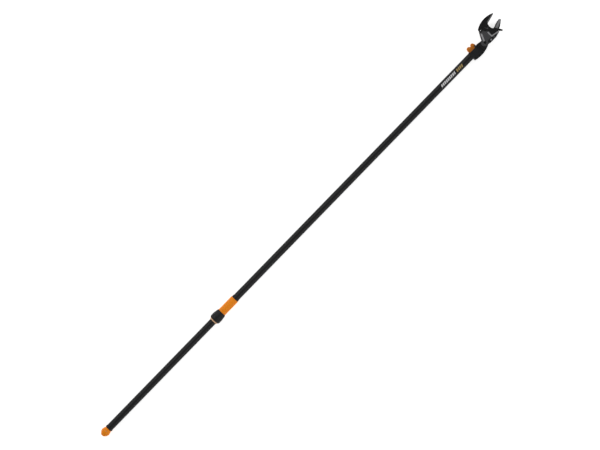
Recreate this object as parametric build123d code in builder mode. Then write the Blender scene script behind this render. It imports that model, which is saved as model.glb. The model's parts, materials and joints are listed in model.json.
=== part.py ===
"""Pole pruner: a long tube, a sliding pull handle and a tilting bypass cutting head.

Lengths are in millimetres. Each piece is drawn in the tool's own axes: X runs along the pole
from the end ball to the head, Y points to the hook's side and Z is the direction of every
pivot. The tool lies on its side, so save() lifts it until the collar and the housing rest on
Z = 0, and centres it over the origin.
"""
import os
from math import asin, atan2, cos, degrees, hypot, radians, sin, sqrt

from build123d import *

os.makedirs("parts", exist_ok=True)

# Overall size
TOOL_LENGTH = 2377.84
HOOK_TOP = 69.4
HOUSING_DEPTH = 29.3
REST_HEIGHT = 23.75

# Pole
POLE_R = 15.0
POLE_BORE = 13.8
POLE_START = 46.0
POLE_END = 2200.0
RUNNING_GAP = 0.08
FREE_GAP = 0.3

# Pull handle, and the tube that joins it to the end ball
BALL_R = 19.0
BALL_LENGTH = 37.7
PULL_TUBE_R = 11.0
PULL_TUBE_END = 715.0
GRIP_START = 657.0
COLLAR_START = 663.0
SLEEVE_START = 708.0
SLEEVE_END = 785.0
GRIP_END = 795.0
SLEEVE_R = 18.0
CORE_R = 16.2
KEY_X = 745.0
KEY_LENGTH = 24.0
KEY_WIDTH = 8.0
STROKE = 160.0

# Housing and neck
HOUSING_START = 2184.0
HOUSING_LENGTH = 48.0
HOUSING_TOP = 15.7
SHOULDER = 12.3
NECK_HALF = 11.0
NECK_TOP = 11.5
CHEEK_INNER = 5.4
CHEEK_OUTER = 8.2
EAR_R = 15.0

# Head: the tilt axis, and the other axes measured from it
TILT = (2262.0, -2.0)
PIVOT = (69.0, 5.0)
PULLEY = (28.0, -10.5)
HANG_HOLE = (25.0, 47.4)
ARM_LENGTH = 38.0
ARM_ANGLE = 113.0
ARM = (PIVOT[0] + ARM_LENGTH * cos(radians(ARM_ANGLE)),
       PIVOT[1] + ARM_LENGTH * sin(radians(ARM_ANGLE)))
PLATE_INNER = 8.5
PLATE_OUTER = 11.5
HOOK_FRONT = 15.0
BOLT_R = 4.0
PIN_R = 2.5
PIVOT_GAP = 0.06

# Pulleys and strap
PULLEY_R = 6.0
ARM_PULLEY_R = 7.0
FLANGE = 1.4
FLANGE_THICKNESS = 0.5
PULLEY_WIDTH = 4.95
STRAP_THICKNESS = 1.0
STRAP_WIDTH = 3.8
STRAP_PLANE = 2.6

# Tilt lock
LEVER_PIN = (2223.6, 17.0)
RATCHET_R = 14.0
RATCHET_TEETH = 30
PLUNGER_Z = -13.15
PLUNGER_THICKNESS = 2.7

TOOL = Plane.XY
HEAD = Plane(origin=(TILT[0], TILT[1], 0))
BLADE = Plane(origin=(TILT[0] + PIVOT[0], TILT[1] + PIVOT[1], 0))
HOUSING = Plane(origin=(HOUSING_START, 0, 0))
TO_REST = Location((-TOOL_LENGTH / 2, -(HOOK_TOP - HOUSING_DEPTH) / 2, REST_HEIGHT))


def save(piece, label):
    """Set a finished piece down on the rest plane and write it."""
    placed = piece.part.moved(TO_REST)
    placed.label = label
    export_step(placed, f"parts/{label}.step")


def wall(start, end, inner, outer):
    """Draw a tube wall's section, to be turned about the pole's axis."""
    Polygon((start, inner), (end, inner), (end, outer), (start, outer), align=None)


def block(low, high, mode=Mode.ADD):
    """A box between two opposite corners."""
    size = [b - a for a, b in zip(low, high)]
    with Locations(tuple((a + b) / 2 for a, b in zip(low, high))):
        Box(*size, mode=mode)


# ---------------------------------------------------------------- pole

with BuildPart() as pole_tube:
    with BuildSketch(TOOL):
        wall(POLE_START, POLE_END, POLE_BORE, POLE_R)
    revolve(axis=Axis.X)
    slot_end = KEY_X + KEY_LENGTH / 2 + 2
    slot_start = KEY_X - KEY_LENGTH / 2 - STROKE - 2
    block((slot_start, -KEY_WIDTH / 2 - 0.4, -POLE_R - 1), (slot_end, KEY_WIDTH / 2 + 0.4, -10),
          mode=Mode.SUBTRACT)
save(pole_tube, "pole_tube")

with BuildPart() as end_bush:
    with BuildSketch(TOOL):
        wall(38, POLE_START, PULL_TUBE_R + RUNNING_GAP, 16.2)
        wall(POLE_START, 70, PULL_TUBE_R + RUNNING_GAP, POLE_BORE)
    revolve(axis=Axis.X)
    rim = end_bush.edges().filter_by(GeomType.CIRCLE).sort_by(Axis.X)[0:2].sort_by(SortBy.RADIUS)[-1]
    chamfer(rim, 1)
save(end_bush, "end_bush")

# Slanted bars stand for the printing on the pole, in two colours and two stretches.
BAR_HALF_HEIGHT = 5.5
BAR_SLANT = 4.0


def marking(start, count, pitch, width):
    """A row of slanted bars, one tenth of a millimetre thick, on the pole's front."""
    with BuildPart() as bars:
        with BuildSketch(TOOL.offset(POLE_R / 2)):
            for index in range(count):
                left = start + index * pitch
                Polygon((left - BAR_SLANT, -BAR_HALF_HEIGHT), (left - BAR_SLANT + width, -BAR_HALF_HEIGHT),
                        (left + width, BAR_HALF_HEIGHT), (left, BAR_HALF_HEIGHT), align=None)
        extrude(amount=POLE_R)
        with BuildSketch(Plane.YZ.offset(start - 20)):
            Circle(POLE_R + 0.1)
            Circle(POLE_R, mode=Mode.SUBTRACT)
        extrude(amount=count * pitch + 40, mode=Mode.INTERSECT)
    return bars


save(marking(2011, 9, 9.2, 6.4), "marking_white")
save(marking(2100, 4, 9.2, 6.4), "marking_gold")

# ---------------------------------------------------------------- pull handle and end ball

with BuildPart() as ball_knob:
    with BuildSketch(TOOL):
        with BuildLine():
            Line((0, 0), (0, 6))
            ThreePointArc((0, 6), (6.6, 13), (19, BALL_R))
            ThreePointArc((19, BALL_R), (30, 16.9), (BALL_LENGTH, 13.6))
            Line((BALL_LENGTH, 13.6), (BALL_LENGTH, PULL_TUBE_R))
            Line((BALL_LENGTH, PULL_TUBE_R), (14, PULL_TUBE_R))
            Line((14, PULL_TUBE_R), (14, 0))
            Line((14, 0), (0, 0))
        make_face()
    revolve(axis=Axis.X)
    with BuildSketch(Plane.XY.offset(-BALL_R)):
        with Locations((26, 0)):
            Circle(2)
    extrude(amount=2 * BALL_R, mode=Mode.SUBTRACT)
save(ball_knob, "ball_knob")

with BuildPart() as ball_pin:
    with BuildSketch(Plane.XY.offset(-16.5)):
        with Locations((26, 0)):
            Circle(2)
    extrude(amount=33)
save(ball_pin, "ball_pin")

with BuildPart() as pull_tube:
    with BuildSketch(TOOL):
        wall(14, PULL_TUBE_END, PULL_TUBE_R - 1.5, PULL_TUBE_R)
    revolve(axis=Axis.X)
    with BuildSketch(Plane.XY.offset(-BALL_R)):
        with Locations((26, 0)):
            Circle(2)
    extrude(amount=2 * BALL_R, mode=Mode.SUBTRACT)
save(pull_tube, "pull_tube")

SHUTTLE_START = 690.0
SHUTTLE_END = 770.0
CLAMP_END = 790.0
KEY_TOP = -8.0
KEY_BOTTOM = -15.6
KEY_SCREWS = (KEY_X - 6.5, KEY_X + 6.5)
STRAP_Y = (TILT[1] - STRAP_THICKNESS / 2, TILT[1] + STRAP_THICKNESS / 2)
STRAP_Z = (STRAP_PLANE - STRAP_WIDTH / 2, STRAP_PLANE + STRAP_WIDTH / 2)
CLAMP_SCREWS = ((CLAMP_END - 6, -3.5), (CLAMP_END - 6, 7))

with BuildPart() as shuttle:
    with BuildSketch(TOOL):
        wall(SHUTTLE_START, PULL_TUBE_END, PULL_TUBE_R, POLE_BORE - RUNNING_GAP)
        wall(PULL_TUBE_END, SHUTTLE_END, 0, POLE_BORE - RUNNING_GAP)
    revolve(axis=Axis.X)
    block((SHUTTLE_END, STRAP_Y[0] - 5, -6), (CLAMP_END, STRAP_Y[0], 9))
    block((KEY_X - KEY_LENGTH / 2, -KEY_WIDTH / 2, -POLE_R),
          (KEY_X + KEY_LENGTH / 2, KEY_WIDTH / 2, KEY_TOP), mode=Mode.SUBTRACT)
    with BuildSketch(Plane.XY.offset(KEY_TOP)):
        with Locations(*[(x, 0) for x in KEY_SCREWS]):
            Circle(2)
    extrude(amount=6, mode=Mode.SUBTRACT)
    with BuildSketch(Plane.XZ.offset(-STRAP_Y[0])):
        with Locations(*CLAMP_SCREWS):
            Circle(1.2)
    extrude(amount=4, mode=Mode.SUBTRACT)
save(shuttle, "shuttle")

with BuildPart() as strap_clamp:
    block((SHUTTLE_END + 1, STRAP_Y[1], -6), (CLAMP_END, STRAP_Y[1] + 2.5, 9))
    with BuildSketch(Plane.XZ.offset(-STRAP_Y[1] - 2.5)):
        with Locations(*CLAMP_SCREWS):
            Circle(1.2)
    extrude(amount=3, mode=Mode.SUBTRACT)
save(strap_clamp, "strap_clamp")

with BuildPart() as clamp_screws:
    with BuildSketch(Plane.XZ.offset(-STRAP_Y[1] - 2.5)):
        with Locations(*CLAMP_SCREWS):
            Circle(1.2)
    extrude(amount=7.4)
    with BuildSketch(Plane.XZ.offset(-STRAP_Y[1] - 2.5)):
        with Locations(*CLAMP_SCREWS):
            Circle(2)
    extrude(amount=-1.5)
save(clamp_screws, "clamp_screws")

with BuildPart() as pull_strap:
    block((SHUTTLE_END + 2, STRAP_Y[0], STRAP_Z[0]), (TILT[0] - 7, STRAP_Y[1], STRAP_Z[1]))
save(pull_strap, "pull_strap")

with BuildPart() as handle_key:
    block((KEY_X - KEY_LENGTH / 2, -KEY_WIDTH / 2, KEY_BOTTOM),
          (KEY_X + KEY_LENGTH / 2, KEY_WIDTH / 2, KEY_TOP))
    with BuildSketch(Plane.XY.offset(-CORE_R)):
        with Locations(*[(x, 0) for x in KEY_SCREWS]):
            Circle(2)
    extrude(amount=CORE_R, mode=Mode.SUBTRACT)
save(handle_key, "handle_key")

with BuildPart() as key_screws:
    with BuildSketch(Plane.XY.offset(-CORE_R)):
        with Locations(*[(x, 0) for x in KEY_SCREWS]):
            Circle(2)
    extrude(amount=CORE_R + KEY_TOP + 5.5)
    with BuildSketch(Plane.XY.offset(-CORE_R - 1.4)):
        with Locations(*[(x, 0) for x in KEY_SCREWS]):
            Circle(3.5)
    extrude(amount=1.4)
save(key_screws, "key_screws")

with BuildPart() as grip_core:
    with BuildSketch(TOOL):
        wall(GRIP_START + 2, GRIP_END, POLE_R + RUNNING_GAP, CORE_R)
    revolve(axis=Axis.X)
    block((KEY_X - KEY_LENGTH / 2, -KEY_WIDTH / 2, -CORE_R - 1),
          (KEY_X + KEY_LENGTH / 2, KEY_WIDTH / 2, -10), mode=Mode.SUBTRACT)
save(grip_core, "grip_core")

with BuildPart() as grip_ring:
    with BuildSketch(TOOL):
        wall(GRIP_START, GRIP_START + 2, POLE_R + RUNNING_GAP, SLEEVE_R)
        wall(GRIP_START + 2, COLLAR_START, CORE_R, SLEEVE_R)
    revolve(axis=Axis.X)
    chamfer(grip_ring.edges().filter_by(GeomType.CIRCLE).sort_by(SortBy.RADIUS)[-2:], 0.8)
save(grip_ring, "grip_ring")

with BuildPart() as grip_collar:
    with BuildSketch(TOOL):
        with BuildLine():
            Line((COLLAR_START, CORE_R), (COLLAR_START, 20.2))
            ThreePointArc((COLLAR_START, 20.2), (COLLAR_START + 4, 22.8), (COLLAR_START + 11, REST_HEIGHT))
            Line((COLLAR_START + 11, REST_HEIGHT), (COLLAR_START + 21, REST_HEIGHT))
            ThreePointArc((COLLAR_START + 21, REST_HEIGHT), (COLLAR_START + 31, 22.3),
                          (COLLAR_START + 42.5, 20.5))
            Line((COLLAR_START + 42.5, 20.5), (SLEEVE_START, 19.2))
            Line((SLEEVE_START, 19.2), (SLEEVE_START, CORE_R))
            Line((SLEEVE_START, CORE_R), (COLLAR_START, CORE_R))
        make_face()
    revolve(axis=Axis.X)
save(grip_collar, "grip_collar")

with BuildPart() as grip_sleeve:
    with BuildSketch(TOOL):
        wall(SLEEVE_START, SLEEVE_END, CORE_R, SLEEVE_R)
    revolve(axis=Axis.X)
    chamfer(grip_sleeve.edges().filter_by(GeomType.CIRCLE).sort_by(SortBy.RADIUS)[-2:], 0.6)
    with BuildSketch(Plane.XY.offset(-SLEEVE_R - 1)):
        with Locations(*[(x, 0) for x in KEY_SCREWS]):
            Circle(3.5)
    extrude(amount=SLEEVE_R - CORE_R + 1.1, mode=Mode.SUBTRACT)
save(grip_sleeve, "grip_sleeve")

# ---------------------------------------------------------------- housing

HOUSING_SCREWS = ((7, -20), (24, -22.6), (41, -23), (40, 7.5))
LUG_Z = (13.3, 16.0)


def housing_half(side):
    """Half of the head's housing: side is 1 for the front and -1 for the back."""
    with BuildPart() as half:
        with BuildSketch(HOUSING):
            with BuildLine():
                Polyline((0, -24.5), (0, HOUSING_TOP), (HOUSING_LENGTH, HOUSING_TOP),
                         (HOUSING_LENGTH, -28.5))
                ThreePointArc((HOUSING_LENGTH, -28.5), (34, -HOUSING_DEPTH), (0, -24.5))
            make_face()
        extrude(amount=side * REST_HEIGHT)
        outer = half.faces().filter_by(Plane.XY).sort_by(Axis.Z)[-1 if side > 0 else 0]
        fillet(outer.edges(), 7)
        # bore for the pole, and pocket for the neck's root
        with BuildSketch(Plane.YZ.offset(HOUSING_START)):
            Circle(POLE_R)
        extrude(amount=POLE_END - HOUSING_START, mode=Mode.SUBTRACT)
        block((POLE_END, -16, -NECK_HALF), (HOUSING_START + HOUSING_LENGTH, NECK_TOP, NECK_HALF),
              mode=Mode.SUBTRACT)
        # seat for the lever: shoulders beside a ridge, open at the front
        low, high = sorted((side * 10.5, side * 30))
        block((HOUSING_START + 3, SHOULDER, low), (HOUSING_START + 46.5, 30, high), mode=Mode.SUBTRACT)
        block((HOUSING_START + 32, SHOULDER, -11), (HOUSING_START + 46.5, 30, 11), mode=Mode.SUBTRACT)
        # lug for the lever's pin
        low, high = sorted((side * LUG_Z[0], side * LUG_Z[1]))
        block((LEVER_PIN[0] - 4, 8, low), (LEVER_PIN[0] + 4, LEVER_PIN[1] + 4, high))
        with BuildSketch(Plane.XY):
            with Locations(LEVER_PIN):
                Circle(1.5)
        extrude(amount=side * 17, mode=Mode.SUBTRACT)
        with BuildSketch(HOUSING):
            with Locations(*HOUSING_SCREWS):
                Circle(1.6)
        extrude(amount=side * REST_HEIGHT, mode=Mode.SUBTRACT)
        with BuildSketch(HOUSING.offset(side * (REST_HEIGHT - 3))):
            with Locations(*HOUSING_SCREWS):
                Circle(3.2)
        extrude(amount=side * 3, mode=Mode.SUBTRACT)
        if side < 0:
            # channel for the lock plunger, and its well up to the lever
            block((POLE_END + 0.2, -5.4, -14.9), (HOUSING_START + HOUSING_LENGTH, 1.4, -NECK_HALF),
                  mode=Mode.SUBTRACT)
            block((POLE_END + 2.5, 0, -14.9), (POLE_END + 17.5, HOUSING_TOP, -NECK_HALF),
                  mode=Mode.SUBTRACT)
    return half


save(housing_half(1), "housing_front")
save(housing_half(-1), "housing_back")

with BuildPart() as housing_screws:
    with BuildSketch(HOUSING.offset(-(REST_HEIGHT - 5))):
        with Locations(*HOUSING_SCREWS):
            Circle(1.6)
    extrude(amount=2 * REST_HEIGHT - 8)
    with BuildSketch(HOUSING.offset(REST_HEIGHT - 3)):
        with Locations(*HOUSING_SCREWS):
            Circle(3.0)
    extrude(amount=2.2)
    with BuildSketch(HOUSING.offset(REST_HEIGHT - 2)):
        with Locations(*HOUSING_SCREWS):
            RegularPolygon(1.5, 6)
    extrude(amount=2, mode=Mode.SUBTRACT)
save(housing_screws, "housing_screws")

# ---------------------------------------------------------------- neck

with BuildPart() as neck_casting:
    with BuildSketch(Plane.YZ.offset(POLE_END - 30)):
        Circle(POLE_BORE)
    extrude(amount=30)
    block((POLE_END, -16, -NECK_HALF), (HOUSING_START + HOUSING_LENGTH, NECK_TOP, NECK_HALF))
    with BuildSketch(Plane.XY.offset(-CHEEK_OUTER)):
        with BuildLine():
            Polyline((2232, -28.2), (2232, 17), (2240, 16.6), (2247, 15))
            ThreePointArc((2247, 15), (2254, 14.1), (TILT[0], TILT[1] + EAR_R))
            ThreePointArc((TILT[0], TILT[1] + EAR_R), (TILT[0] + EAR_R, TILT[1]),
                          (TILT[0] + EAR_R * 0.64, TILT[1] - EAR_R * 0.77))
            Polyline((TILT[0] + EAR_R * 0.64, TILT[1] - EAR_R * 0.77), (2268, -17.6), (2261, -20.9),
                     (2248, -25.4), (2232, -28.2))
        make_face()
    extrude(amount=2 * CHEEK_OUTER)
    # the rib against the housing's front
    block((2232, -27.6, -NECK_HALF), (2236, 14.6, NECK_HALF))
    # fork for the head's pulleys, and the strap's way through
    block((2240, -40, -CHEEK_INNER), (2290, 30, CHEEK_INNER), mode=Mode.SUBTRACT)
    block((POLE_END - 31, -5, -2), (2241, 1, CHEEK_INNER), mode=Mode.SUBTRACT)
    with BuildSketch(HEAD.offset(-CHEEK_OUTER)):
        Circle(BOLT_R)
    extrude(amount=2 * CHEEK_OUTER, mode=Mode.SUBTRACT)
    with BuildSketch(HOUSING.offset(-NECK_HALF)):
        with Locations(HOUSING_SCREWS[-1]):
            Circle(1.6)
    extrude(amount=2 * NECK_HALF, mode=Mode.SUBTRACT)
save(neck_casting, "neck_casting")

with BuildPart() as strap_guides:
    with BuildSketch(HEAD.offset(-CHEEK_INNER)):
        with Locations((0, 6), (0, -6)):
            Circle(4.2)
    extrude(amount=2 * CHEEK_INNER)
save(strap_guides, "strap_guides")

with BuildPart() as tilt_bolts:
    for side in (1, -1):
        with BuildSketch(HEAD.offset(side * CHEEK_INNER)):
            Circle(BOLT_R)
        extrude(amount=side * 10)
        with BuildSketch(HEAD.offset(side * 14.8)):
            Circle(6.2)
        extrude(amount=side * 2.4)
        with BuildSketch(HEAD.offset(side * 15.6)):
            RegularPolygon(2.9, 6)
        extrude(amount=side * 2, mode=Mode.SUBTRACT)
save(tilt_bolts, "tilt_bolts")

# ---------------------------------------------------------------- tilt lock

with BuildPart() as lock_lever:
    with BuildSketch(Plane.XY.offset(-13)):
        with BuildLine():
            Line((2219.2, 12.6), (2190.5, 12.6))
            ThreePointArc((2190.5, 12.6), (2188.8, 23), (2191.5, 31.5))
            ThreePointArc((2191.5, 31.5), (2198.5, 35), (2205, 31.5))
            ThreePointArc((2205, 31.5), (2209.2, 28.4), (2213, 31.5))
            ThreePointArc((2213, 31.5), (2219.5, 35.2), (2225.6, 31))
            ThreePointArc((2225.6, 31), (2228.4, 24), (2228, 17))
            ThreePointArc((2228, 17), (2223.6, 12.6), (2219.2, 17))
            Line((2219.2, 17), (2219.2, 12.6))
        make_face()
    extrude(amount=26)
    fillet(lock_lever.faces().filter_by(Plane.XY).edges().filter_by_position(
        Axis.Y, 24, 36), 2.5)
    block((2180, 10, -10.8), (2218.2, 16.2, 10.8), mode=Mode.SUBTRACT)
    block((2213, 6, -13), (2216.2, 13, -11.8))
    with BuildSketch(Plane.XY.offset(-13)):
        with Locations(LEVER_PIN):
            Circle(1.5 + PIVOT_GAP)
    extrude(amount=26, mode=Mode.SUBTRACT)
save(lock_lever, "lock_lever")

with BuildPart() as lever_pin:
    with BuildSketch(Plane.XY.offset(-LUG_Z[1])):
        with Locations(LEVER_PIN):
            Circle(1.5)
    extrude(amount=2 * LUG_Z[1])
save(lever_pin, "lever_pin")

with BuildPart() as lock_plunger:
    half = PLUNGER_THICKNESS / 2
    block((2208.2, -5, PLUNGER_Z - half), (TILT[0] - RATCHET_R - FREE_GAP, 1, PLUNGER_Z + half))
    block((2208.2, 1, PLUNGER_Z - half), (2212.2, 11.8, PLUNGER_Z + half))
save(lock_plunger, "lock_plunger")

with BuildPart() as plunger_spring:
    with BuildLine() as coil:
        Helix(pitch=1.2, height=7.0, radius=1.2, center=(POLE_END + 0.6, TILT[1], PLUNGER_Z),
              direction=(1, 0, 0))
    with BuildSketch(Plane(origin=coil.edges()[0] @ 0, z_dir=coil.edges()[0] % 0)):
        Circle(0.25)
    sweep(path=coil.edges()[0])
save(plunger_spring, "plunger_spring")

with BuildPart() as tilt_ratchet:
    with BuildSketch(HEAD.offset(-14.5)):
        Circle(RATCHET_R)
        Circle(BOLT_R + PIVOT_GAP, mode=Mode.SUBTRACT)
        with PolarLocations(RATCHET_R + 0.3, RATCHET_TEETH):
            RegularPolygon(1.2, 3, mode=Mode.SUBTRACT)
        with PolarLocations(9.5, 3):
            Circle(1.3, mode=Mode.SUBTRACT)
    extrude(amount=3)
save(tilt_ratchet, "tilt_ratchet")

with BuildPart() as ratchet_rivets:
    with BuildSketch(HEAD.offset(-14.7)):
        with PolarLocations(9.5, 3):
            Circle(1.3)
    extrude(amount=14.7 - PLATE_INNER)
save(ratchet_rivets, "ratchet_rivets")

# ---------------------------------------------------------------- head frame


PLATE_RIVETS = ((37, 51.5), (37.5, 33.5), (52.5, 13.5))
BAR_TOP = (17.4, 38.6)
BLOCK_SCREW = (52.5, -11.5)


def front_plate_outline():
    """Draw the front plate's outline: an ear round the tilt axis and a plate up to the hook."""
    Circle(EAR_R)
    Polygon((0, -EAR_R), (22, -17.5), (50, -17.5), (70, -12.5), (78, -9.5), (66, -3), (57, 9),
            (46, 27), (43, 46), (40, 58), (24, 56), (15.2, 45), (-3, 12), (-10, -8), align=None)


with BuildPart() as front_plate:
    with BuildSketch(HEAD.offset(PLATE_INNER)):
        front_plate_outline()
        with Locations((0, 0)):
            Circle(BOLT_R + PIVOT_GAP, mode=Mode.SUBTRACT)
        with Locations(PULLEY, HANG_HOLE):
            Circle(PIN_R, mode=Mode.SUBTRACT)
        with Locations(BLOCK_SCREW, BAR_TOP, *PLATE_RIVETS):
            Circle(2, mode=Mode.SUBTRACT)
    extrude(amount=PLATE_OUTER - PLATE_INNER)
save(front_plate, "front_plate")

with BuildPart() as back_plate:
    with BuildSketch(HEAD.offset(-PLATE_OUTER)):
        Circle(EAR_R)
        with Locations(PIVOT):
            Circle(8)
        Polygon((0, -EAR_R), (22, -17.5), (50, -17.5), (70, -12), (76, 1), (68, 13), (62, 22),
                (59.5, 31), (60.5, 42), (58, 58), (40, 61), (24, 56), (15.2, 45), (-3, 12),
                (-10, -8), align=None)
        with Locations((0, 0)):
            Circle(BOLT_R + PIVOT_GAP, mode=Mode.SUBTRACT)
        with Locations(PIVOT):
            Circle(BOLT_R, mode=Mode.SUBTRACT)
        with Locations(PULLEY, HANG_HOLE):
            Circle(PIN_R, mode=Mode.SUBTRACT)
        with Locations(BLOCK_SCREW):
            Circle(2, mode=Mode.SUBTRACT)
        with PolarLocations(9.5, 3):
            Circle(1.3, mode=Mode.SUBTRACT)
    extrude(amount=PLATE_OUTER - PLATE_INNER)
save(back_plate, "back_plate")

with BuildPart() as hook:
    with BuildSketch(HEAD.offset(PLATE_INNER)) as hook_outline:
        with BuildLine():
            ThreePointArc((18, 57), (68, 71.4), (109, 62.4))
            ThreePointArc((109, 62.4), (110.8, 60), (108.6, 57.6))
            ThreePointArc((108.6, 57.6), (88, 52), (68, 47.4))
            ThreePointArc((68, 47.4), (64.6, 45.2), (63.2, 41))
            ThreePointArc((63.2, 41), (61.6, 30.5), (65, 19))
            ThreePointArc((65, 19), (71.5, 10.4), (82, 0.4))
            Polyline((82, 0.4), (84.6, -4), (90, -13.4))
            ThreePointArc((90, -13.4), (88.6, -17), (84.4, -17.4))
            Polyline((84.4, -17.4), (79.5, -11.5), (73.8, -5.1), (43.3, 1.2), (44, 9), (47, 17))
            ThreePointArc((47, 17), (44.8, 22.4), (42, 27.6))
            Polyline((42, 27.6), (35, 32), (31, 41.5), (17, 42.5), (15.5, 48.5), (18, 57))
        make_face()
    extrude(amount=HOOK_FRONT - PLATE_INNER)
    # sunk panels leave a raised rim round the horn and along the band
    with BuildSketch(HEAD.offset(HOOK_FRONT - 1.2)):
        with BuildLine():
            ThreePointArc((44, 60), (70, 66.4), (93, 61.5))
            ThreePointArc((93, 61.5), (76, 55.8), (60, 51))
            Polyline((60, 51), (51, 55), (44, 60))
        make_face()
        with BuildLine():
            ThreePointArc((58, 33), (58.4, 25), (61.5, 17))
            ThreePointArc((61.5, 17), (69, 7.4), (78, -2))
            Line((78, -2), (75.5, -3.4))
            ThreePointArc((75.5, -3.4), (59, 9.5), (52, 26.5))
            Line((52, 26.5), (58, 33))
        make_face()
    extrude(amount=2, mode=Mode.SUBTRACT)
    # wide bevel along the horn's inner edge
    with BuildSketch(HEAD.offset(HOOK_FRONT)):
        Polygon((66.4, 53), (88, 57.4), (107, 62.6), (116, 40), (72, 36), align=None)
    extrude(amount=-2.6, taper=63, mode=Mode.SUBTRACT)
    # recess for the front plate
    with BuildSketch(HEAD.offset(PLATE_INNER)):
        front_plate_outline()
        offset(amount=0.1)
    extrude(amount=PLATE_OUTER - PLATE_INNER, mode=Mode.SUBTRACT)
    with BuildSketch(HEAD.offset(HOOK_FRONT - 0.1)):
        with Locations(PIVOT):
            Circle(8.5)
    extrude(amount=0.7)
    with BuildSketch(HEAD.offset(PLATE_INNER)):
        with Locations(PIVOT):
            Circle(BOLT_R)
        with Locations(HANG_HOLE):
            Circle(PIN_R)
        with Locations(*PLATE_RIVETS):
            Circle(2)
    extrude(amount=10, mode=Mode.SUBTRACT)
    # curved window over the end of the blade's arm
    with BuildSketch(HEAD.offset(PLATE_INNER)):
        with Locations(ARM):
            Circle(9.4)
            Circle(5.4, mode=Mode.SUBTRACT)
            Polygon((0, 0), (-14, 11), (-14, -14), (4, -14), align=None, mode=Mode.INTERSECT)
    extrude(amount=10, mode=Mode.SUBTRACT)
save(hook, "hook")

with BuildPart() as stay_bar:
    with BuildSketch(HEAD.offset(PLATE_OUTER)):
        with Locations((0, 0), BAR_TOP):
            Circle(3.2)
        make_hull()
        Circle(6.6)
        Circle(BOLT_R + PIVOT_GAP, mode=Mode.SUBTRACT)
        with Locations(BAR_TOP):
            Circle(2, mode=Mode.SUBTRACT)
    extrude(amount=2)
save(stay_bar, "stay_bar")

with BuildPart() as strap_guard:
    with BuildSketch(HEAD.offset(PLATE_OUTER)):
        Polygon((37.5, 22), (42.5, 22), (42.5, 1), (73, -5.3), (73, -10), (37.5, -3.6), align=None)
    extrude(amount=1.5)
    chamfer(strap_guard.faces().sort_by(Axis.Z)[-1].edges(), 0.5)
save(strap_guard, "strap_guard")

with BuildPart() as pulley_cap:
    with BuildSketch(HEAD.offset(PLATE_OUTER)):
        with Locations((26, PULLEY[1] - 0.2)):
            SlotCenterToCenter(15, 14)
        with Locations(PULLEY):
            Circle(PIN_R, mode=Mode.SUBTRACT)
    extrude(amount=3)
    fillet(pulley_cap.faces().sort_by(Axis.Z)[-1].outer_wire().edges(), 1.5)
    with BuildSketch(HEAD.offset(PLATE_OUTER + 1.6)):
        with Locations(PULLEY):
            Circle(4.5)
    extrude(amount=3, mode=Mode.SUBTRACT)
save(pulley_cap, "pulley_cap")

with BuildPart() as pulley_pin:
    with BuildSketch(HEAD.offset(-PLATE_OUTER - 0.8)):
        with Locations(PULLEY):
            Circle(PIN_R)
    extrude(amount=2 * PLATE_OUTER + 2.4)
    with BuildSketch(HEAD.offset(PLATE_OUTER + 1.6)):
        with Locations(PULLEY):
            Circle(4.2)
    extrude(amount=1.8)
    chamfer(pulley_pin.faces().sort_by(Axis.Z)[-1].edges(), 0.6)
save(pulley_pin, "pulley_pin")

with BuildPart() as spur_block:
    with BuildSketch(HEAD.offset(-PLATE_INNER)):
        with Locations((53, -11)):
            RectangleRounded(13, 9, 2)
        with Locations(BLOCK_SCREW):
            Circle(2, mode=Mode.SUBTRACT)
    extrude(amount=2 * PLATE_INNER)
save(spur_block, "spur_block")

with BuildPart() as rear_spacer:
    with BuildSketch(HEAD.offset(-PLATE_INNER)):
        with Locations(HANG_HOLE):
            Circle(4.5)
            Circle(PIN_R, mode=Mode.SUBTRACT)
    extrude(amount=2 * PLATE_INNER)
save(rear_spacer, "rear_spacer")

with BuildPart() as block_screw:
    with BuildSketch(HEAD.offset(-PLATE_OUTER - 2)):
        with Locations(BLOCK_SCREW):
            Circle(2)
    extrude(amount=2 * PLATE_OUTER + 2)
    with BuildSketch(HEAD.offset(PLATE_OUTER)):
        with Locations(BLOCK_SCREW):
            Circle(4)
    extrude(amount=2.2)
    with BuildSketch(HEAD.offset(-PLATE_OUTER)):
        with Locations(BLOCK_SCREW):
            RegularPolygon(4, 6)
    extrude(amount=-2.4)
    with BuildSketch(HEAD.offset(PLATE_OUTER + 0.8)):
        with Locations(BLOCK_SCREW):
            RegularPolygon(1.8, 6)
    extrude(amount=2, mode=Mode.SUBTRACT)
save(block_screw, "block_screw")

with BuildPart() as plate_rivets:
    with BuildSketch(HEAD.offset(PLATE_INNER)):
        with Locations(*PLATE_RIVETS):
            Circle(2)
    extrude(amount=HOOK_FRONT - PLATE_INNER)
    with BuildSketch(HEAD.offset(HOOK_FRONT)):
        with Locations(*PLATE_RIVETS):
            Circle(2.8)
    extrude(amount=0.6)
    with BuildSketch(HEAD.offset(PLATE_INNER)):
        with Locations(BAR_TOP):
            Circle(2)
    extrude(amount=5)
    with BuildSketch(HEAD.offset(PLATE_OUTER + 2)):
        with Locations(BAR_TOP):
            Circle(2.8)
    extrude(amount=0.8)
save(plate_rivets, "plate_rivets")

with BuildPart() as pivot_bolt:
    with BuildSketch(BLADE.offset(-19.5)):
        Circle(BOLT_R)
    extrude(amount=19.5 + HOOK_FRONT + 0.6)
    with BuildSketch(BLADE.offset(HOOK_FRONT + 0.6)):
        Circle(6.5)
    extrude(amount=2.6)
    fillet(pivot_bolt.faces().sort_by(Axis.Z)[-1].edges(), 1.2)
    with BuildSketch(BLADE.offset(HOOK_FRONT + 1.6)):
        RegularPolygon(2.9, 6)
    extrude(amount=3, mode=Mode.SUBTRACT)
save(pivot_bolt, "pivot_bolt")

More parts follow.
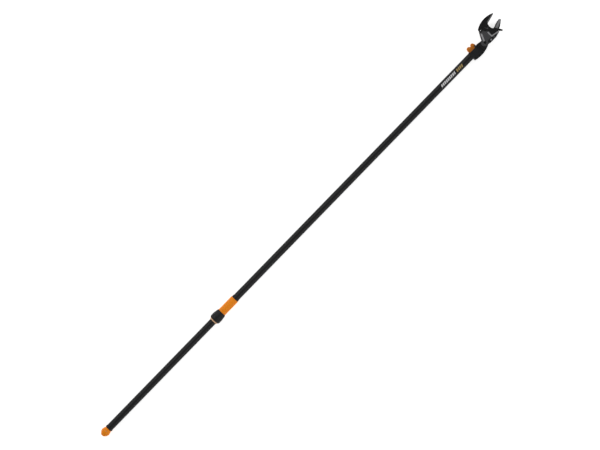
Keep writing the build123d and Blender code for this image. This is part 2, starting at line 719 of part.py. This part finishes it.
with BuildPart() as pivot_nut:
    with BuildSketch(BLADE.offset(-PLATE_OUTER)):
        RegularPolygon(7.5, 6)
        Circle(BOLT_R, mode=Mode.SUBTRACT)
    extrude(amount=-6)
save(pivot_nut, "pivot_nut")

# ---------------------------------------------------------------- blade

ARM_FROM_PIVOT = (ARM[0] - PIVOT[0], ARM[1] - PIVOT[1])
HUB_R = 12.0
ARM_END_R = 7.5


def arm_outline():
    """Draw the arm from the pivot to the drive pin, kept clear of the jaw's throat."""
    Circle(HUB_R - 1)
    with Locations(ARM_FROM_PIVOT):
        Circle(ARM_END_R)
    Polygon((-10.8, -2), (-4, 10), (-5, 12.4), (-8.6, 24), (-7.4, 35.5), (-22.3, 34), align=None)


with BuildPart() as blade:
    with BuildSketch(BLADE.offset(CHEEK_INNER)):
        arm_outline()
        Circle(HUB_R)
    extrude(amount=CHEEK_OUTER - CHEEK_INNER)
    # the finger is flat against the hook, and its edges are ground back on the other side
    with BuildSketch(BLADE.offset(CHEEK_OUTER)):
        with BuildLine():
            Line((-2, 11.8), (7, 12.6))
            ThreePointArc((7, 12.6), (22, 18.4), (39.5, 20.9))
            ThreePointArc((39.5, 20.9), (46.6, 17.2), (42.5, 10.2))
            Polyline((42.5, 10.2), (33, 3), (23, -4), (2, -11.8), (-2, 11.8))
        make_face()
    extrude(amount=CHEEK_INNER - CHEEK_OUTER, taper=38)
    with BuildSketch(BLADE.offset(CHEEK_INNER)):
        Circle(BOLT_R + PIVOT_GAP)
        with Locations(ARM_FROM_PIVOT):
            Circle(PIN_R)
    extrude(amount=CHEEK_OUTER - CHEEK_INNER, mode=Mode.SUBTRACT)
save(blade, "blade")

with BuildPart() as rear_arm:
    with BuildSketch(BLADE.offset(-CHEEK_OUTER)):
        arm_outline()
        Circle(BOLT_R + PIVOT_GAP, mode=Mode.SUBTRACT)
        with Locations(ARM_FROM_PIVOT):
            Circle(PIN_R, mode=Mode.SUBTRACT)
    extrude(amount=CHEEK_OUTER - CHEEK_INNER)
save(rear_arm, "rear_arm")

with BuildPart() as hub_sleeve:
    with BuildSketch(BLADE.offset(-CHEEK_INNER)):
        Circle(7)
        Circle(BOLT_R + PIVOT_GAP, mode=Mode.SUBTRACT)
    extrude(amount=2 * CHEEK_INNER)
save(hub_sleeve, "hub_sleeve")

with BuildPart() as drive_pin:
    with BuildSketch(BLADE.offset(-CHEEK_OUTER)):
        with Locations(ARM_FROM_PIVOT):
            Circle(PIN_R)
    extrude(amount=2 * CHEEK_OUTER)
save(drive_pin, "drive_pin")

with BuildPart() as return_spring:
    with BuildLine() as coil:
        Helix(pitch=1.9, height=8.5, radius=8.6, center=(TILT[0] + PIVOT[0], TILT[1] + PIVOT[1], -4.3))
    with BuildSketch(Plane(origin=coil.edges()[0] @ 0, z_dir=coil.edges()[0] % 0)):
        Circle(0.7)
    sweep(path=coil.edges()[0])
save(return_spring, "return_spring")

# ---------------------------------------------------------------- pulleys and strap


def pulley(centre, radius, side):
    """A flanged pulley on a pin, on the front (1) or back (-1) strap plane."""
    middle = side * STRAP_PLANE
    with BuildPart() as wheel:
        for low, thickness, outer in (
                (middle - PULLEY_WIDTH / 2, PULLEY_WIDTH, radius),
                (middle - PULLEY_WIDTH / 2, FLANGE_THICKNESS, radius + FLANGE),
                (middle + PULLEY_WIDTH / 2 - FLANGE_THICKNESS, FLANGE_THICKNESS, radius + FLANGE)):
            with BuildSketch(HEAD.offset(low)):
                with Locations(centre):
                    Circle(outer)
            extrude(amount=thickness)
        with BuildSketch(HEAD.offset(-10)):
            with Locations(centre):
                Circle(PIN_R + PIVOT_GAP)
        extrude(amount=20, mode=Mode.SUBTRACT)
    return wheel


save(pulley(PULLEY, PULLEY_R, 1), "head_pulley_front")
save(pulley(PULLEY, PULLEY_R, -1), "head_pulley_back")
save(pulley(ARM, ARM_PULLEY_R, 1), "arm_pulley_front")
save(pulley(ARM, ARM_PULLEY_R, -1), "arm_pulley_back")

STRAP_LIFT = 0.05
TAIL_WRAP_R = PULLEY_R + STRAP_LIFT + STRAP_THICKNESS / 2
TAIL_LENGTH = sqrt(hypot(*PULLEY) ** 2 - TAIL_WRAP_R ** 2)
TAIL_ANGLE = atan2(PULLEY[1], PULLEY[0]) - asin(TAIL_WRAP_R / hypot(*PULLEY))

with BuildPart() as strap_falls:
    for plane in (-STRAP_PLANE, STRAP_PLANE):
        with BuildSketch(HEAD.offset(plane - STRAP_WIDTH / 2)):
            with Locations(PULLEY):
                Circle(PULLEY_R + STRAP_LIFT + STRAP_THICKNESS)
            with Locations(ARM):
                Circle(ARM_PULLEY_R + STRAP_LIFT + STRAP_THICKNESS)
            make_hull()
        extrude(amount=STRAP_WIDTH)
        with BuildSketch(HEAD.offset(plane - STRAP_WIDTH / 2)):
            with Locations(PULLEY):
                Circle(PULLEY_R + STRAP_LIFT)
            with Locations(ARM):
                Circle(ARM_PULLEY_R + STRAP_LIFT)
            make_hull()
        extrude(amount=STRAP_WIDTH, mode=Mode.SUBTRACT)
    # the tail runs from the pole through the tilt axis to the underside of the front pulley
    with BuildSketch(HEAD.offset(STRAP_PLANE - STRAP_WIDTH / 2)):
        Rectangle(6, STRAP_THICKNESS, align=(Align.MAX, Align.CENTER))
        Circle(STRAP_THICKNESS / 2)
        with Locations(Location((0, 0), degrees(TAIL_ANGLE))):
            Rectangle(TAIL_LENGTH, STRAP_THICKNESS, align=(Align.MIN, Align.CENTER))
    extrude(amount=STRAP_WIDTH)
save(strap_falls, "strap_falls")
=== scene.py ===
"""Looks for the pole pruner: materials, fine detail, camera, lights and floor, in metres."""
import json
from math import acos, atan2, cos, pi, radians, sin

import bpy
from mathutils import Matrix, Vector


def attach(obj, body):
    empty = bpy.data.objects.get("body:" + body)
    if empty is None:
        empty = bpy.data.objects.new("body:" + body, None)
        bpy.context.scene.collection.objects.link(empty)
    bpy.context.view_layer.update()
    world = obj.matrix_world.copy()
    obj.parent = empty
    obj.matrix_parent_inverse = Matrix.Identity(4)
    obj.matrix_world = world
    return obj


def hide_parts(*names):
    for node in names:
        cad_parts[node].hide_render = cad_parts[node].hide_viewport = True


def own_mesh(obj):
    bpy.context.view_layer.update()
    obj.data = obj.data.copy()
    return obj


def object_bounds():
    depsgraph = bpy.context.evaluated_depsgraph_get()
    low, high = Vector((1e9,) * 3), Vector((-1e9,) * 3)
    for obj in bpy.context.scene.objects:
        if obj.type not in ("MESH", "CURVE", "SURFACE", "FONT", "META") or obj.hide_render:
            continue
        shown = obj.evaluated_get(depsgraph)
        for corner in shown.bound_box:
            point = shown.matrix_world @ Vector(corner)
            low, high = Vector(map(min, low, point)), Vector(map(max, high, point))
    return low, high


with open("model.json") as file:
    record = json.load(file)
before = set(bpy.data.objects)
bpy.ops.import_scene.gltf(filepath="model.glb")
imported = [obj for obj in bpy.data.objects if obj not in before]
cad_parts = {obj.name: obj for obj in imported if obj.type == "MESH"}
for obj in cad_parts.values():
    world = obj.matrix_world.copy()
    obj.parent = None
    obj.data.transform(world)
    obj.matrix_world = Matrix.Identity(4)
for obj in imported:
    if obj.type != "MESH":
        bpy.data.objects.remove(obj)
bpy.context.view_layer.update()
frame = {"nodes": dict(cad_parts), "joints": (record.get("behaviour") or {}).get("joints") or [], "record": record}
nodes = frame["nodes"]
axes = {joint["name"]: Vector(joint["pos_m"])
        for joint in frame["joints"] if "pos_m" in joint}


# ---------------------------------------------------------------- materials

class Shader:
    """A node material being built: one Principled shader and the object's own coordinates."""

    def __init__(self, name, roughness, metallic=0.0, **sockets):
        self.material = bpy.data.materials.new(name)
        self.material.use_nodes = True
        self.nodes = self.material.node_tree.nodes
        self.links = self.material.node_tree.links
        self.shader = self.nodes["Principled BSDF"]
        self.shader.inputs["Roughness"].default_value = roughness
        self.shader.inputs["Metallic"].default_value = metallic
        for socket, value in sockets.items():
            self.shader.inputs[socket.replace("_", " ")].default_value = value
        self.place = self.nodes.new("ShaderNodeTexCoord").outputs["Object"]
        self.height = None

    def axis(self, vector, letter):
        """One coordinate of a vector."""
        split = self.nodes.new("ShaderNodeSeparateXYZ")
        self.links.new(vector, split.inputs["Vector"])
        return split.outputs[letter]

    def maths(self, operation, *values):
        """A maths node over values, each a number or a socket."""
        node = self.nodes.new("ShaderNodeMath")
        node.operation = operation
        for socket, value in zip(node.inputs, values):
            if isinstance(value, bpy.types.NodeSocket):
                self.links.new(value, socket)
            else:
                socket.default_value = value
        return node.outputs["Value"]

    def stretched(self, scale):
        """Object coordinates scaled by (x, y, z)."""
        mapping = self.nodes.new("ShaderNodeMapping")
        mapping.inputs["Scale"].default_value = scale
        self.links.new(self.place, mapping.inputs["Vector"])
        return mapping.outputs["Vector"]

    def noise(self, scale, detail=3.0, stretch=(1, 1, 1)):
        """Noise of so many features a metre, as a value from 0 to 1."""
        texture = self.nodes.new("ShaderNodeTexNoise")
        texture.inputs["Scale"].default_value = scale
        texture.inputs["Detail"].default_value = detail
        self.links.new(self.stretched(stretch), texture.inputs["Vector"])
        return texture.outputs["Fac"]

    def cells(self, scale, stretch=(1, 1, 1)):
        """Distance to the nearest of so many random cells a metre."""
        texture = self.nodes.new("ShaderNodeTexVoronoi")
        texture.inputs["Scale"].default_value = scale
        self.links.new(self.stretched(stretch), texture.inputs["Vector"])
        return texture.outputs["Distance"]

    def slope(self):
        """1 on a face that lies flat across the pivots, falling towards 0 as it tilts."""
        normal = self.nodes.new("ShaderNodeTexCoord").outputs["Normal"]
        return self.axis(normal, "Z")

    def off_line(self, start, end):
        """Distance in metres from the line through two points, seen along the pivots."""
        mapping = self.nodes.new("ShaderNodeMapping")
        mapping.vector_type = "TEXTURE"
        mapping.inputs["Location"].default_value = start
        turn = atan2(end[1] - start[1], end[0] - start[0])
        mapping.inputs["Rotation"].default_value = (0, 0, turn)
        self.links.new(self.place, mapping.inputs["Vector"])
        return self.maths("ABSOLUTE", self.axis(mapping.outputs["Vector"], "Y"))

    def ramp(self, value, low, high, start, end):
        """value from low to high, mapped from start to end and held outside that."""
        node = self.nodes.new("ShaderNodeMapRange")
        node.inputs["From Min"].default_value = low
        node.inputs["From Max"].default_value = high
        node.inputs["To Min"].default_value = start
        node.inputs["To Max"].default_value = end
        self.links.new(value, node.inputs["Value"])
        return node.outputs["Result"]

    def mix(self, factor, first, second):
        """A colour between two, each a colour or a socket."""
        node = self.nodes.new("ShaderNodeMix")
        node.data_type = "RGBA"
        self.links.new(factor, node.inputs["Factor"])
        for socket, colour in ((node.inputs[6], first), (node.inputs[7], second)):
            if isinstance(colour, bpy.types.NodeSocket):
                self.links.new(colour, socket)
            else:
                socket.default_value = (*colour, 1)
        return node.outputs[2]

    def colour(self, socket):
        self.links.new(socket, self.shader.inputs["Base Color"])

    def roughness(self, socket):
        self.links.new(socket, self.shader.inputs["Roughness"])

    def bump(self, height, depth):
        """Add one layer of relief, depth in metres."""
        node = self.nodes.new("ShaderNodeBump")
        node.inputs["Strength"].default_value = 1.0
        node.inputs["Distance"].default_value = depth
        self.links.new(height, node.inputs["Height"])
        if self.height is not None:
            self.links.new(self.height, node.inputs["Normal"])
        self.height = node.outputs["Normal"]
        self.links.new(self.height, self.shader.inputs["Normal"])


def powder_coat(name, dark, light, roughness):
    """Satin powder coat: fine orange peel, faint cloudiness and light scuffs along the tube."""
    s = Shader(name, roughness, Specular_IOR_Level=0.14)
    cloud = s.noise(14, 4)
    scuff = s.ramp(s.noise(420, 2, stretch=(0.05, 1, 1)), 0.62, 0.78, 0, 0.5)
    s.colour(s.mix(scuff, s.mix(cloud, dark, light), tuple(c * 2.2 for c in light)))
    s.roughness(s.ramp(s.noise(60, 3), 0.3, 0.7, roughness - 0.06, roughness + 0.08))
    s.bump(s.noise(900, 2), 0.00006)
    return s.material


def moulded(name, dark, light, roughness=0.5, grain=1800):
    """Moulded plastic: spark-eroded grain, slight colour drift and handling shine."""
    s = Shader(name, roughness, Specular_IOR_Level=0.15)
    s.colour(s.mix(s.noise(38, 4), dark, light))
    s.roughness(s.ramp(s.noise(90, 4), 0.3, 0.7, roughness - 0.08, roughness + 0.1))
    s.bump(s.cells(grain), 0.00005)
    s.bump(s.noise(260, 3), 0.00005)
    return s.material


HIGHLIGHT_SLOPE = cos(radians(27))      # tilt of the faces that get a painted highlight along the hook's wide bevel, and how far off counts
HIGHLIGHT_SPREAD = 0.035


def cast(name, dark, light, roughness=0.5, metallic=0.0, peel=700, depth=0.0001, bevel=None):
    """Coated casting or forging: soft lumps, rubbed high spots and, if told, a painted highlight in the given
    colour on faces tilted like the hook's wide bevel.
    """
    s = Shader(name, roughness, metallic, Specular_IOR_Level=0.25)
    rubbed = s.ramp(s.noise(240, 5), 0.6, 0.75, 0, 0.6)
    coat = s.mix(rubbed, s.mix(s.noise(45, 4), dark, light), tuple(c * 2.5 for c in light))
    if bevel:
        # painted highlight: faces tilted about 27 degrees from the pivot plane get the paler bevel colour
        painted_highlight_mask = s.maths("COMPARE", s.slope(), HIGHLIGHT_SLOPE, HIGHLIGHT_SPREAD)
        coat = s.mix(painted_highlight_mask, coat, bevel)
    s.colour(coat)
    s.roughness(s.ramp(s.noise(120, 4), 0.3, 0.7, roughness - 0.1, roughness + 0.1))
    s.bump(s.noise(peel, 3), depth)
    return s.material


def brushed(name, dark, light, roughness, metallic):
    """Ground or rolled metal: fine lines along the tool over cloudy tone."""
    s = Shader(name, roughness, metallic)
    lines = s.noise(3600, 2, stretch=(0.03, 1, 1))
    s.colour(s.mix(s.ramp(lines, 0.35, 0.65, 0, 1), dark, light))
    s.roughness(s.ramp(s.noise(150, 4), 0.3, 0.7, roughness - 0.08, roughness + 0.12))
    s.bump(lines, 0.00003)
    return s.material


HIGHLIGHT_HALF, HIGHLIGHT_FADE = 0.0035, 0.0062      # half widths of the painted highlight down the finger's middle, and where it fades out
ARM_BARE, ARM_COATED = 0.004, 0.002       # how far behind the pivot the bare arm fades out


def ground_blade(name, bare_and_highlight, rim, start, end):
    """Ground blade: bare arm, and a finger in its dark coat with a painted highlight along its middle."""
    s = Shader(name, 0.4, 0.55)
    lines = s.noise(3600, 2, stretch=(1, 0.03, 1))
    # painted highlight: a light band along the line from the pivot to the tip of the finger
    middle = s.ramp(s.off_line(start, end), HIGHLIGHT_HALF, HIGHLIGHT_FADE, 1, 0)
    arm = s.ramp(s.axis(s.place, "X"), start[0] - ARM_BARE, start[0] - ARM_COATED, 1, 0)
    bare = s.maths("MAXIMUM", middle, arm)
    # bare steel on the arm, and the painted highlight on the finger
    bright = s.mix(s.ramp(lines, 0.35, 0.65, 0, 1), bare_and_highlight, tuple(c * 1.4 for c in bare_and_highlight))
    coated = s.mix(s.noise(200, 4), rim, tuple(c * 1.6 for c in rim))
    s.colour(s.mix(bare, coated, bright))
    s.roughness(s.ramp(s.noise(150, 4), 0.3, 0.7, 0.32, 0.5))
    s.bump(lines, 0.00003)
    return s.material


def woven(name, dark, light):
    """Woven polyamide strap: fine ribs that cross."""
    s = Shader(name, 0.75, Sheen_Weight=0.2)
    waves = []
    for stretch in ((1, 0, 0), (0, 1, 1)):
        wave = s.nodes.new("ShaderNodeTexWave")
        wave.inputs["Scale"].default_value = 900
        s.links.new(s.stretched(stretch), wave.inputs["Vector"])
        waves.append(wave.outputs["Fac"])
    weave = s.maths("MULTIPLY", *waves)
    s.colour(s.mix(weave, dark, light))
    s.bump(weave, 0.0001)
    return s.material


def printed(name, ink, worn):
    """Screen print with a slightly broken edge and thin spots."""
    s = Shader(name, 0.45)
    s.colour(s.mix(s.ramp(s.noise(700, 4), 0.58, 0.72, 0, 0.5), ink, worn))
    s.bump(s.noise(900, 2), 0.00003)
    return s.material


PIVOT = axes["blade_swing"]
BLADE_TIP = PIVOT + Vector((0.0445, 0.0165, 0))

looks = {
    "pole_black": powder_coat("pole_coat", (0.010, 0.010, 0.0105), (0.017, 0.017, 0.018), 0.36),
    "black_plastic": moulded("black_plastic", (0.009, 0.0097, 0.0105), (0.018, 0.019, 0.0205)),
    "orange_plastic": moulded("orange_plastic", (0.80, 0.225, 0.004), (0.92, 0.275, 0.010), 0.45),
    "pale_orange_plastic": moulded("pale_orange_plastic", (0.60, 0.36, 0.20), (0.70, 0.45, 0.27)),
    "marking_white": printed("marking_white_ink", (0.66, 0.66, 0.67), (0.25, 0.25, 0.25)),
    "marking_gold": printed("marking_gold_ink", (0.38, 0.27, 0.09), (0.14, 0.10, 0.04)),
    # the black casting's bevel colour is a painted highlight on its tilted faces
    "black_casting": cast("black_casting", (0.004, 0.004, 0.004), (0.009, 0.009, 0.0095), 0.42,
                          bevel=(0.16, 0.16, 0.16)),
    "black_aluminium": cast("black_aluminium", (0.006, 0.006, 0.0065), (0.013, 0.013, 0.014), 0.5),
    "gray_steel": brushed("gray_steel", (0.30, 0.30, 0.31), (0.44, 0.44, 0.45), 0.5, 0.35),
    "blade_steel": ground_blade("blade_steel", (0.24, 0.24, 0.245), (0.035, 0.035, 0.036),
                                PIVOT, BLADE_TIP),
    "black_fasteners": cast("black_oxide", (0.008, 0.008, 0.008), (0.018, 0.018, 0.018), 0.38, 0.5,
                            peel=1500, depth=0.00003),
    "bright_steel": brushed("zinc_plate", (0.42, 0.42, 0.43), (0.62, 0.62, 0.64), 0.3, 1.0),
    "aluminium": brushed("aluminium", (0.45, 0.45, 0.46), (0.6, 0.6, 0.62), 0.38, 1.0),
    "pulley_nylon": moulded("pulley_nylon", (0.30, 0.30, 0.29), (0.38, 0.38, 0.37), 0.4),
    "strap_nylon": woven("strap_weave", (0.018, 0.018, 0.018), (0.06, 0.06, 0.06)),
}
# a darker copy of the gray plate steel, painted shade, for the front plate and the tilt ratchet
plate_painted_shade = brushed("plate_steel_painted_shade", (0.045, 0.045, 0.047), (0.085, 0.085, 0.088), 0.45, 0.4)
# the lock lever gets a darker, browner copy of the orange plastic: painted shade
lever_orange_painted_shade = moulded("lever_orange_painted_shade", (0.50, 0.15, 0.012), (0.66, 0.22, 0.030), 0.45, grain=1200)
special = {"lock_lever": lever_orange_painted_shade, "front_plate": plate_painted_shade, "tilt_ratchet": plate_painted_shade,
           "rear_arm": looks["gray_steel"]}

slot_of = {part["node"]: part["material_slot"] for part in frame["record"]["subparts"]}
for name, node in nodes.items():
    node.data.materials.clear()
    node.data.materials.append(special.get(name, looks[slot_of[name]]))


MERGE_WITHIN = 0.000005
SHARP_FROM = radians(32)
EDGE_BREAKS = {"hook": 0.0009, "front_plate": 0.0004, "back_plate": 0.0004, "stay_bar": 0.0004,
               "spur_block": 0.0004, "lock_plunger": 0.0003, "neck_casting": 0.0005}


def soften(node, width):
    """Break a CAD node's sharp edges, with modifiers alone."""
    weld = node.modifiers.new("weld", "WELD")
    weld.merge_threshold = MERGE_WITHIN
    bevel = node.modifiers.new("edge_break", "BEVEL")
    bevel.width = width
    bevel.segments = 2
    bevel.limit_method = "ANGLE"
    bevel.angle_limit = SHARP_FROM
    bevel.harden_normals = True


for name, width in EDGE_BREAKS.items():
    soften(nodes[name], width)


def new_piece(name, vertices, faces, slot):
    """A separate mesh with a slot's look."""
    mesh = bpy.data.meshes.new(name)
    mesh.from_pydata([tuple(v) for v in vertices], [], faces)
    piece = bpy.data.objects.new(name, mesh)
    bpy.context.scene.collection.objects.link(piece)
    mesh.materials.append(looks[slot])
    return piece


# ---------------------------------------------------------------- strap

STRAP_THICKNESS = 0.001
STRAP_WIDTH = 0.0038
STRAP_PLANES = (-0.0026, 0.0026)
HEAD_PULLEY_R = 0.00655      # to the strap's middle, as the next one
ARM_PULLEY_R = 0.00755
NECK_STRAP = 0.0065          # strap in the neck, up to the tilt axis
FALL_STEPS, TAIL_STEPS, WRAP_STEPS = 12, 8, 24
TILT = axes["head_tilt"]
PULLEY = axes["head_pulley_front_spin"]
ARM = axes["arm_pulley_front_spin"]


def ribbon(name, runs):
    """Flat strap standing on edge along each run, a list of points of its middle line."""
    vertices, faces = [], []
    for points in runs:
        first = len(vertices)
        for index, point in enumerate(points):
            before = points[max(index - 1, 0)]
            after = points[min(index + 1, len(points) - 1)]
            along = (after - before).normalized()
            side = Vector((-along.y, along.x, 0)) * STRAP_THICKNESS / 2
            rise = Vector((0, 0, STRAP_WIDTH / 2))
            vertices += [point - side - rise, point + side - rise,
                         point + side + rise, point - side + rise]
        for index in range(len(points) - 1):
            a, b = first + 4 * index, first + 4 * (index + 1)
            faces += [(a + k, a + (k + 1) % 4, b + (k + 1) % 4, b + k) for k in range(4)]
        last = first + 4 * (len(points) - 1)
        faces += [(first + 3, first + 2, first + 1, first), (last, last + 1, last + 2, last + 3)]
    return new_piece(name, vertices, faces, "strap_nylon")


def arc(centre, radius, start, end, plane, steps=WRAP_STEPS):
    """Points round a centre from one angle to another, at one strap plane."""
    angles = [start + (end - start) * k / steps for k in range(steps + 1)]
    return [centre + Vector((radius * cos(a), radius * sin(a), plane)) for a in angles]


fall = ARM - PULLEY
heading = atan2(fall.y, fall.x)
lean = acos((HEAD_PULLEY_R - ARM_PULLEY_R) / fall.length)
head_wraps, arm_wraps, falls = [], [], []
for plane in STRAP_PLANES:
    head_wraps.append(arc(PULLEY, HEAD_PULLEY_R, heading + lean, heading + 2 * pi - lean, plane))
    arm_wraps.append(arc(ARM, ARM_PULLEY_R, heading - lean, heading + lean, plane))
    for angle in (heading + lean, heading - lean):
        low_end = arc(PULLEY, HEAD_PULLEY_R, angle, angle, plane, 1)[0]
        high_end = arc(ARM, ARM_PULLEY_R, angle, angle, plane, 1)[0]
        falls.append([low_end.lerp(high_end, k / FALL_STEPS) for k in range(FALL_STEPS + 1)])

strap_runs = ribbon("strap_runs", falls)
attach(strap_runs, "head")
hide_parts("strap_falls")
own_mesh(strap_runs)
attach(ribbon("strap_round_head_pulleys", head_wraps), "head")
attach(ribbon("strap_round_arm_pulleys", arm_wraps), "blade")

# the tail leaves the pole, turns at the tilt axis and meets the front pulley's underside
reach = PULLEY - TILT
tail_length = (reach.length ** 2 - HEAD_PULLEY_R ** 2) ** 0.5
dip = atan2(reach.y, reach.x) - acos(tail_length / reach.length)
bend = TILT + Vector((0, 0, STRAP_PLANES[1]))
tail = [bend + Vector((cos(dip), sin(dip), 0)) * tail_length * k / TAIL_STEPS
        for k in range(TAIL_STEPS + 1)]
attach(ribbon("strap_tail", [tail]), "head")
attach(ribbon("strap_in_neck", [[bend - Vector((NECK_STRAP, 0, 0)), bend]]), "pole")


# ---------------------------------------------------------------- the lock plunger's spring

SPRING_FOOT = Vector((1.01168, -0.02205, 0.0106))      # the end away from the head, which stays
SPRING_LENGTH = 0.007
SPRING_TURNS = 6
COIL_R = 0.0012
WIRE_R = 0.00025
WIRE_SIDES = 8
TURN_STEPS = 20


def coil_spring(name):
    """Round wire wound along X from the spring's foot, closed at both ends."""
    steps = SPRING_TURNS * TURN_STEPS
    vertices, faces = [], []
    for k in range(steps + 1):
        turn = 2 * pi * SPRING_TURNS * k / steps
        along = WIRE_R + (SPRING_LENGTH - 2 * WIRE_R) * k / steps
        for j in range(WIRE_SIDES):
            around = 2 * pi * j / WIRE_SIDES
            out = COIL_R + WIRE_R * cos(around)
            vertices.append(SPRING_FOOT + Vector((along + WIRE_R * sin(around),
                                                  out * cos(turn), out * sin(turn))))
    for k in range(steps):
        for j in range(WIRE_SIDES):
            a, b = k * WIRE_SIDES + j, k * WIRE_SIDES + (j + 1) % WIRE_SIDES
            faces.append((a, a + WIRE_SIDES, b + WIRE_SIDES, b))
    last = steps * WIRE_SIDES
    faces += [tuple(range(WIRE_SIDES)), tuple(range(last, last + WIRE_SIDES))[::-1]]
    return new_piece(name, vertices, faces, "bright_steel")


coil = coil_spring("plunger_coil")
coil.data.shade_smooth()
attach(coil, "pole")
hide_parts("plunger_spring")
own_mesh(coil)


# ---------------------------------------------------------------- floor, light and camera

FLOOR_SIZE = 40
FLOOR_GAP = 0.0002
WORLD_STRENGTH = 0.32

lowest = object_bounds()[0][2]
bpy.ops.mesh.primitive_plane_add(size=FLOOR_SIZE, location=(0, 0, lowest - FLOOR_GAP))
floor = bpy.context.object
floor.name = "floor"
paper = Shader("floor_paper", 0.85, Specular_IOR_Level=0.2, Emission_Color=(1, 1, 1, 1),
               Emission_Strength=0.62)
paper.colour(paper.mix(paper.noise(5, 3), (0.93, 0.93, 0.93), (0.96, 0.96, 0.96)))
floor.data.materials.append(paper.material)

world = bpy.data.worlds.new("studio")
world.use_nodes = True
background = world.node_tree.nodes["Background"]
background.inputs["Color"].default_value = (1, 1, 1, 1)
background.inputs["Strength"].default_value = WORLD_STRENGTH
bpy.context.scene.world = world
bpy.context.scene.view_settings.view_transform = "Standard"


def softbox(name, place, size, watts):
    """A rectangular lamp at place, facing the tool's middle."""
    light = bpy.data.lights.new(name, "AREA")
    light.shape = "RECTANGLE"
    light.size, light.size_y = size
    light.energy = watts
    lamp = bpy.data.objects.new(name, light)
    lamp.location = place
    lamp.rotation_euler = (-Vector(place)).to_track_quat("-Z", "Y").to_euler()
    bpy.context.scene.collection.objects.link(lamp)


softbox("key_box", (0, 2.3, 2.1), (3.4, 0.9), 46)
softbox("fill_box", (0, -2.4, 2.0), (3.4, 0.8), 34)

# the long lens looks straight down on the tool, turned so that the pole rises to the right
VIEW_WIDTH = 2.484
POLE_RISE = radians(45.8)
LENS_MM = 130
SENSOR_MM = 36
CENTRE = (0.0031, -0.0001)
camera = bpy.data.objects.new("camera", bpy.data.cameras.new("camera"))
camera.data.lens = LENS_MM
camera.data.sensor_width = SENSOR_MM
camera.data.clip_end = 100
camera.location = (*CENTRE, VIEW_WIDTH * LENS_MM / SENSOR_MM)
camera.rotation_euler = (0, 0, -POLE_RISE)
bpy.context.scene.collection.objects.link(camera)
bpy.context.scene.camera = camera
